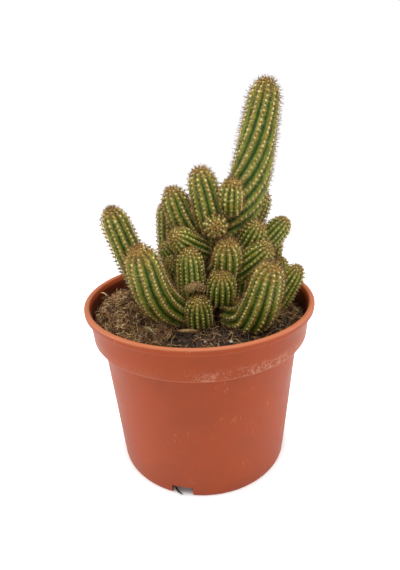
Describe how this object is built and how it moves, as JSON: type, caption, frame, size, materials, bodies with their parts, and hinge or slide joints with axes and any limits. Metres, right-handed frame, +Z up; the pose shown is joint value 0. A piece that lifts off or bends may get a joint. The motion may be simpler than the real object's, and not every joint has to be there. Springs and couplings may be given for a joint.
{
  "type": "potted peanut cactus",
  "caption": "Peanut cactus, a clump of ribbed, spiny, finger-like green stems of different lengths, growing in compost in a round terracotta-coloured plastic nursery pot.",
  "frame": {"origin": "centre of the pot's foot, on the surface that it stands on", "axes": "+Z up along the pot's axis; -Y is the front, where the two large leaning stems are; +X is to the right of that view"},
  "size_m": [0.12, 0.12, 0.195],
  "materials": {
    "pot_plastic": "satin terracotta-coloured moulded plastic",
    "cactus_skin": "matte green ribbed cactus skin with pale woolly spine cushions",
    "compost": "dark peat and bark compost",
    "coir_fibre": "dry tan coconut fibre",
    "dried_bud": "dried brown woolly bud",
    "perlite": "white expanded mineral grains",
    "root": "dark dry root"
  },
  "bodies": {
    "root": {"pot": "pot_plastic", "soil": "compost", "coir_mound": "coir_fibre", "main_trunk": "cactus_skin", "tall_stem": "cactus_skin", "upper_centre_stem": "cactus_skin", "upper_left_stem": "cactus_skin", "rear_left_stem": "cactus_skin", "left_knuckle_stem": "cactus_skin", "small_left_stem": "cactus_skin", "small_left_bud": "cactus_skin", "outer_left_stem": "cactus_skin", "front_left_stem": "cactus_skin", "centre_left_stem": "cactus_skin", "front_bud": "cactus_skin", "lower_centre_stem": "cactus_skin", "centre_oval_stem": "cactus_skin", "facing_bud": "cactus_skin", "tall_stem_bud": "cactus_skin", "front_right_stem": "cactus_skin", "shaded_right_stem": "cactus_skin", "middle_right_stem": "cactus_skin", "upper_right_stem": "cactus_skin", "side_right_stem": "cactus_skin", "rear_right_stem": "cactus_skin", "slim_right_stem": "cactus_skin", "low_right_stem": "cactus_skin", "outer_right_stem": "cactus_skin", "back_left_stem": "cactus_skin", "back_centre_stem": "cactus_skin", "back_right_stem": "cactus_skin", "back_low_stem": "cactus_skin", "back_bud": "cactus_skin", "withered_bud": "dried_bud", "perlite_grain_1": "perlite", "perlite_grain_2": "perlite", "perlite_grain_3": "perlite", "perlite_grain_4": "perlite", "perlite_grain_5": "perlite", "perlite_grain_6": "perlite", "perlite_grain_7": "perlite", "bark_curl": "coir_fibre", "root_strand": "root"}
  },
  "joints": []
}
